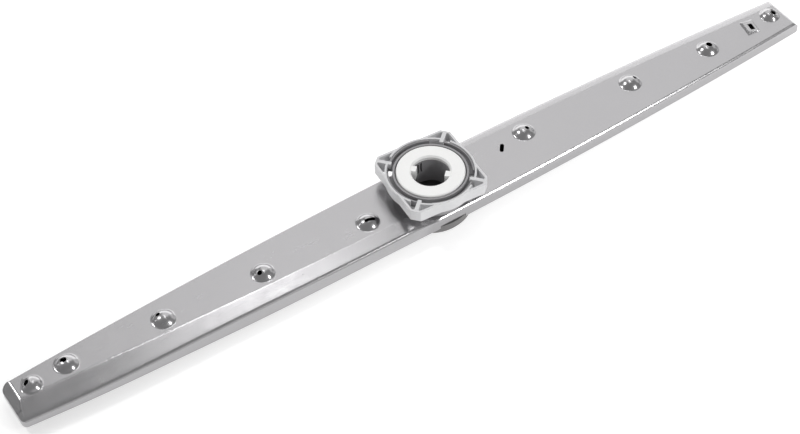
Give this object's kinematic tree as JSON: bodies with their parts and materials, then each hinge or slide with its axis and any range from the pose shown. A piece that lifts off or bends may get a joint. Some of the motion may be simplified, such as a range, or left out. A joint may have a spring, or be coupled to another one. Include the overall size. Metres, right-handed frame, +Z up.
{
  "type": "dishwasher spray arm",
  "caption": "Long pressed steel spray arm with raised jets, turning on a moulded hub with a four-eared lock collar and a white bearing ring.",
  "frame": {"origin": "on the hub's turning axis, in the plane of the hub flange's foot", "axes": "+Z up along the turning axis, out of the jets; +X along the arm; -Y to the front"},
  "size_m": [0.465, 0.0462, 0.0249],
  "materials": {
    "arm_steel": "satin",
    "pan_steel": "satin",
    "dark_plastic": "matte",
    "grey_plastic": "satin",
    "white_plastic": "satin"
  },
  "bodies": {
    "arm": {"upper_shell": "arm_steel", "lower_shell": "pan_steel", "hub_base": "dark_plastic", "hub_cup": "dark_plastic", "lock_collar": "grey_plastic"},
    "ring": {"bearing_ring": "white_plastic"}
  },
  "joints": [
    {"name": "arm_spin", "type": "hinge", "parent": "arm", "child": "ring", "pos_m": [0, 0, 0.0225], "axis": [0, 0, 1], "continuous": true}
  ]
}
